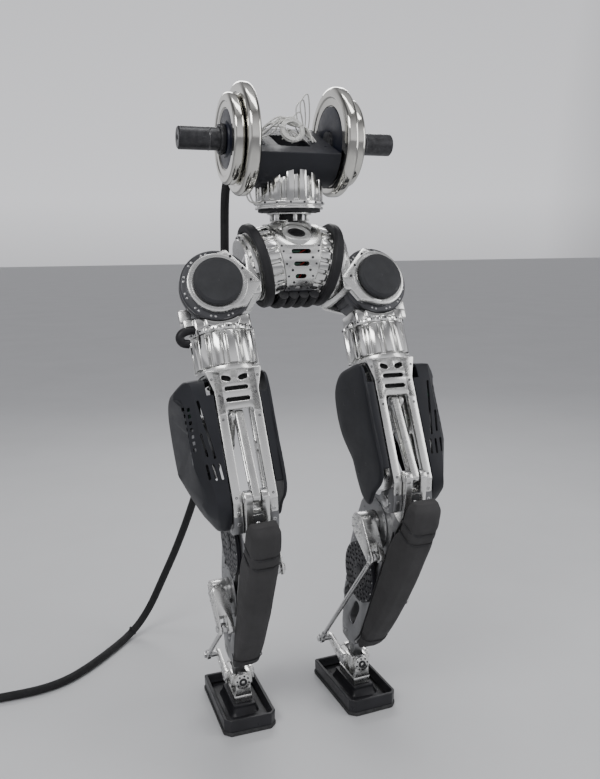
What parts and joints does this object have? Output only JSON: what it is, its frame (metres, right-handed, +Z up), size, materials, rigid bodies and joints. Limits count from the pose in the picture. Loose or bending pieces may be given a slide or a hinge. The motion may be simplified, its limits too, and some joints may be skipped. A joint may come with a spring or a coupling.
{
  "type": "biped walking robot",
  "caption": "Biped walking robot: ribbed pelvis motors, covered thighs, rod-driven knees and ankles, flat feet, and a waist motor carrying a drum with a dumbbell as test load.",
  "frame": {"origin": "on the floor, in the middle of the robot's footprint box without its umbilical", "axes": "+Z up, toes towards -Y, the robot's left side towards +X"},
  "size_m": [1.2227, 0.815, 1.378],
  "materials": {
    "drum_plastic": "matt black moulded drum, faint grain",
    "bar_metal": "black oxide bar, satin",
    "plate_chrome": "polished plate rim with a dark dished face",
    "motor_aluminium": "bead-blasted fluted motor housing",
    "frame_aluminium": "machined satin aluminium",
    "dark_anodised": "dark grey anodised aluminium",
    "black_plastic": "matt black plastic",
    "cover_plastic": "fine-grained black moulded cover",
    "cable_sleeve": "black spiral cable wrap",
    "vented_black": "black perforated cover",
    "pad_foam": "charcoal closed-cell foam",
    "rod_steel": "ground steel rod with threaded ends",
    "foot_black": "black coated foot with a rubber sole edge",
    "wire_white": "white insulated wire",
    "umbilical_sleeve": "black braided sleeve",
    "connector_plastic": "black connector shell"
  },
  "bodies": {
    "torso": {"load_drum": "drum_plastic", "dumbbell_bar": "bar_metal", "plate_inner_right": "plate_chrome", "plate_outer_right": "plate_chrome", "plate_inner_left": "plate_chrome", "plate_outer_left": "plate_chrome", "waist_motor": "motor_aluminium", "wire_hank": "wire_white", "umbilical": "umbilical_sleeve", "umbilical_coil": "umbilical_sleeve", "umbilical_connector": "connector_plastic"},
    "pelvis": {"pelvis_frame": "frame_aluminium", "waist_disc": "black_plastic", "pelvis_cable_cover": "cable_sleeve", "hip_pitch_motor_right": "motor_aluminium", "hip_pitch_motor_left": "motor_aluminium", "guard_ring_right": "black_plastic", "guard_ring_left": "black_plastic"},
    "right_hip_body": {"hip_link_right": "frame_aluminium", "roll_cap_right": "black_plastic"},
    "right_roll_body": {"roll_motor_right": "dark_anodised", "yaw_motor_right": "motor_aluminium"},
    "right_thigh": {"thigh_frame_right": "frame_aluminium", "thigh_cover_outer_right": "cover_plastic", "thigh_cover_inner_right": "cover_plastic", "knee_motor_right": "dark_anodised"},
    "right_knee_crank_body": {"knee_crank_right": "frame_aluminium"},
    "right_knee_rod_body": {"knee_rod_right": "frame_aluminium"},
    "right_shin": {"shin_frame_right": "dark_anodised", "ankle_motor_cover_outer_right": "vented_black", "ankle_motor_cover_inner_right": "vented_black", "shin_pad_right": "pad_foam"},
    "right_inner_crank": {"ankle_crank_inner_right": "frame_aluminium"},
    "right_inner_rod": {"pushrod_inner_right": "rod_steel"},
    "right_outer_crank": {"ankle_crank_outer_right": "frame_aluminium"},
    "right_outer_rod": {"pushrod_outer_right": "rod_steel"},
    "right_ankle": {"ankle_cross_right": "frame_aluminium"},
    "right_foot": {"foot_bracket_right": "frame_aluminium", "foot_tray_right": "foot_black"},
    "left_hip_body": {"hip_link_left": "frame_aluminium", "roll_cap_left": "black_plastic"},
    "left_roll_body": {"roll_motor_left": "dark_anodised", "yaw_motor_left": "motor_aluminium"},
    "left_thigh": {"thigh_frame_left": "frame_aluminium", "thigh_cover_outer_left": "cover_plastic", "thigh_cover_inner_left": "cover_plastic", "knee_motor_left": "dark_anodised"},
    "left_knee_crank_body": {"knee_crank_left": "frame_aluminium"},
    "left_knee_rod_body": {"knee_rod_left": "frame_aluminium"},
    "left_shin": {"shin_frame_left": "dark_anodised", "ankle_motor_cover_outer_left": "vented_black", "ankle_motor_cover_inner_left": "vented_black", "shin_pad_left": "pad_foam"},
    "left_inner_crank": {"ankle_crank_inner_left": "frame_aluminium"},
    "left_inner_rod": {"pushrod_inner_left": "rod_steel"},
    "left_outer_crank": {"ankle_crank_outer_left": "frame_aluminium"},
    "left_outer_rod": {"pushrod_outer_left": "rod_steel"},
    "left_ankle": {"ankle_cross_left": "frame_aluminium"},
    "left_foot": {"foot_bracket_left": "frame_aluminium", "foot_tray_left": "foot_black"}
  },
  "joints": [
    {"name": "waist_yaw", "type": "hinge", "parent": "torso", "child": "pelvis", "pos_m": [-0.00757, 0.0776, 1.126], "axis": [0, 0, 1], "range_deg": [-25, 25]},
    {"name": "right_hip_pitch", "type": "hinge", "parent": "pelvis", "child": "right_hip_body", "pos_m": [-0.17457, 0.0776, 0.996], "axis": [0.9744, 0, 0.225], "range_deg": [-55, 20]},
    {"name": "right_hip_roll", "type": "hinge", "parent": "right_hip_body", "child": "right_roll_body", "pos_m": [-0.17515, 0.06498, 0.96551], "axis": [0.0883, 0.9198, -0.3823], "range_deg": [-6, 25]},
    {"name": "right_hip_yaw", "type": "hinge", "parent": "right_roll_body", "child": "right_thigh", "pos_m": [-0.17515, 0.06498, 0.96551], "axis": [-0.045, 0.3871, 0.921], "range_deg": [-12, 30]},
    {"name": "right_knee", "type": "hinge", "parent": "right_thigh", "child": "right_shin", "pos_m": [-0.15437, -0.11384, 0.54003], "axis": [0.9988, 0.0002, 0.0487], "range_deg": [-42, 35]},
    {"name": "right_knee_crank", "type": "hinge", "parent": "right_thigh", "child": "right_knee_crank_body", "pos_m": [-0.16124, -0.03085, 0.68072], "axis": [0.9988, 0.0002, 0.0487], "range_deg": [-43, 36]},
    {"name": "right_knee_rod", "type": "hinge", "parent": "right_knee_crank_body", "child": "right_knee_rod_body", "pos_m": [-0.16389, -0.06225, 0.73505], "axis": [0.9988, 0.0002, 0.0487], "range_deg": [-36, 43]},
    {"name": "right_ankle_pitch", "type": "hinge", "parent": "right_shin", "child": "right_ankle", "pos_m": [-0.13228, 0.11739, 0.086], "axis": [0.9988, 0.0002, 0.0487], "range_deg": [-12, 32]},
    {"name": "right_ankle_roll", "type": "hinge", "parent": "right_ankle", "child": "right_foot", "pos_m": [-0.13228, 0.11739, 0.086], "axis": [0.0002, -1, 0], "range_deg": [-15, 15]},
    {"name": "right_ankle_crank_inner", "type": "hinge", "parent": "right_shin", "child": "right_inner_crank", "pos_m": [-0.15082, -0.02613, 0.46693], "axis": [0.9988, 0.0002, 0.0487], "range_deg": [-34.1, 13.4]},
    {"name": "right_pushrod_inner", "type": "hinge", "parent": "right_inner_crank", "child": "right_inner_rod", "pos_m": [-0.14818, -0.07719, 0.41298], "axis": [0.9988, 0.0002, 0.0487], "range_deg": [-13.6, 34.5]},
    {"name": "right_ankle_crank_outer", "type": "hinge", "parent": "right_shin", "child": "right_outer_crank", "pos_m": [-0.14439, 0.03337, 0.33468], "axis": [0.9988, 0.0002, 0.0487], "range_deg": [-32.4, 12.8]},
    {"name": "right_pushrod_outer", "type": "hinge", "parent": "right_outer_crank", "child": "right_outer_rod", "pos_m": [-0.14149, -0.01273, 0.27539], "axis": [0.9988, 0.0002, 0.0487], "range_deg": [-13.4, 34]},
    {"name": "left_hip_pitch", "type": "hinge", "parent": "pelvis", "child": "left_hip_body", "pos_m": [0.15943, 0.0776, 0.996], "axis": [0.9744, 0, -0.225], "range_deg": [-55, 20]},
    {"name": "left_hip_roll", "type": "hinge", "parent": "left_hip_body", "child": "left_roll_body", "pos_m": [0.16011, 0.06396, 0.96596], "axis": [0.0954, -0.9056, 0.4133], "range_deg": [-6, 25]},
    {"name": "left_hip_yaw", "type": "hinge", "parent": "left_roll_body", "child": "left_thigh", "pos_m": [0.16011, 0.06396, 0.96596], "axis": [0.012, -0.4141, -0.9101], "range_deg": [-12, 30]},
    {"name": "left_knee", "type": "hinge", "parent": "left_thigh", "child": "left_shin", "pos_m": [0.16566, -0.12738, 0.54548], "axis": [0.9986, 0.0522, -0.0106], "range_deg": [-42, 35]},
    {"name": "left_knee_crank", "type": "hinge", "parent": "left_thigh", "child": "left_knee_crank_body", "pos_m": [0.16257, -0.04029, 0.68381], "axis": [0.9986, 0.0522, -0.0106], "range_deg": [-43, 36]},
    {"name": "left_knee_rod", "type": "hinge", "parent": "left_knee_crank_body", "child": "left_knee_rod_body", "pos_m": [0.16471, -0.06999, 0.7391], "axis": [0.9986, 0.0522, -0.0106], "range_deg": [-36, 43]},
    {"name": "left_ankle_pitch", "type": "hinge", "parent": "left_shin", "child": "left_ankle", "pos_m": [0.14924, 0.09333, 0.086], "axis": [0.9986, 0.0522, -0.0106], "range_deg": [-12, 32]},
    {"name": "left_ankle_roll", "type": "hinge", "parent": "left_ankle", "child": "left_foot", "pos_m": [0.14924, 0.09333, 0.086], "axis": [-0.0522, 0.9986, 0], "range_deg": [-15, 15]},
    {"name": "left_ankle_crank_inner", "type": "hinge", "parent": "left_shin", "child": "left_inner_crank", "pos_m": [0.16037, -0.04144, 0.4704], "axis": [0.9986, 0.0522, -0.0106], "range_deg": [-34.1, 13.4]},
    {"name": "left_pushrod_inner", "type": "hinge", "parent": "left_inner_crank", "child": "left_inner_rod", "pos_m": [0.16254, -0.09362, 0.41751], "axis": [0.9986, 0.0522, -0.0106], "range_deg": [-13.6, 34.5]},
    {"name": "left_ankle_crank_outer", "type": "hinge", "parent": "left_shin", "child": "left_outer_crank", "pos_m": [0.156, 0.01501, 0.33673], "axis": [0.9986, 0.0522, -0.0106], "range_deg": [-32.4, 12.8]},
    {"name": "left_pushrod_outer", "type": "hinge", "parent": "left_outer_crank", "child": "left_outer_rod", "pos_m": [0.15786, -0.03234, 0.2784], "axis": [0.9986, 0.0522, -0.0106], "range_deg": [-13.4, 34]}
  ],
  "couplings": [
    {"joint": "right_knee_crank", "follows": "right_knee", "ratio": 1},
    {"joint": "right_knee_rod", "follows": "right_knee", "ratio": -1},
    {"joint": "right_ankle_crank_inner", "follows": "right_ankle_pitch", "ratio": -1.033},
    {"joint": "right_pushrod_inner", "follows": "right_ankle_pitch", "ratio": 1.046},
    {"joint": "right_ankle_crank_outer", "follows": "right_ankle_pitch", "ratio": -0.981},
    {"joint": "right_pushrod_outer", "follows": "right_ankle_pitch", "ratio": 1.03},
    {"joint": "left_knee_crank", "follows": "left_knee", "ratio": 1},
    {"joint": "left_knee_rod", "follows": "left_knee", "ratio": -1},
    {"joint": "left_ankle_crank_inner", "follows": "left_ankle_pitch", "ratio": -1.033},
    {"joint": "left_pushrod_inner", "follows": "left_ankle_pitch", "ratio": 1.046},
    {"joint": "left_ankle_crank_outer", "follows": "left_ankle_pitch", "ratio": -0.981},
    {"joint": "left_pushrod_outer", "follows": "left_ankle_pitch", "ratio": 1.03}
  ]
}
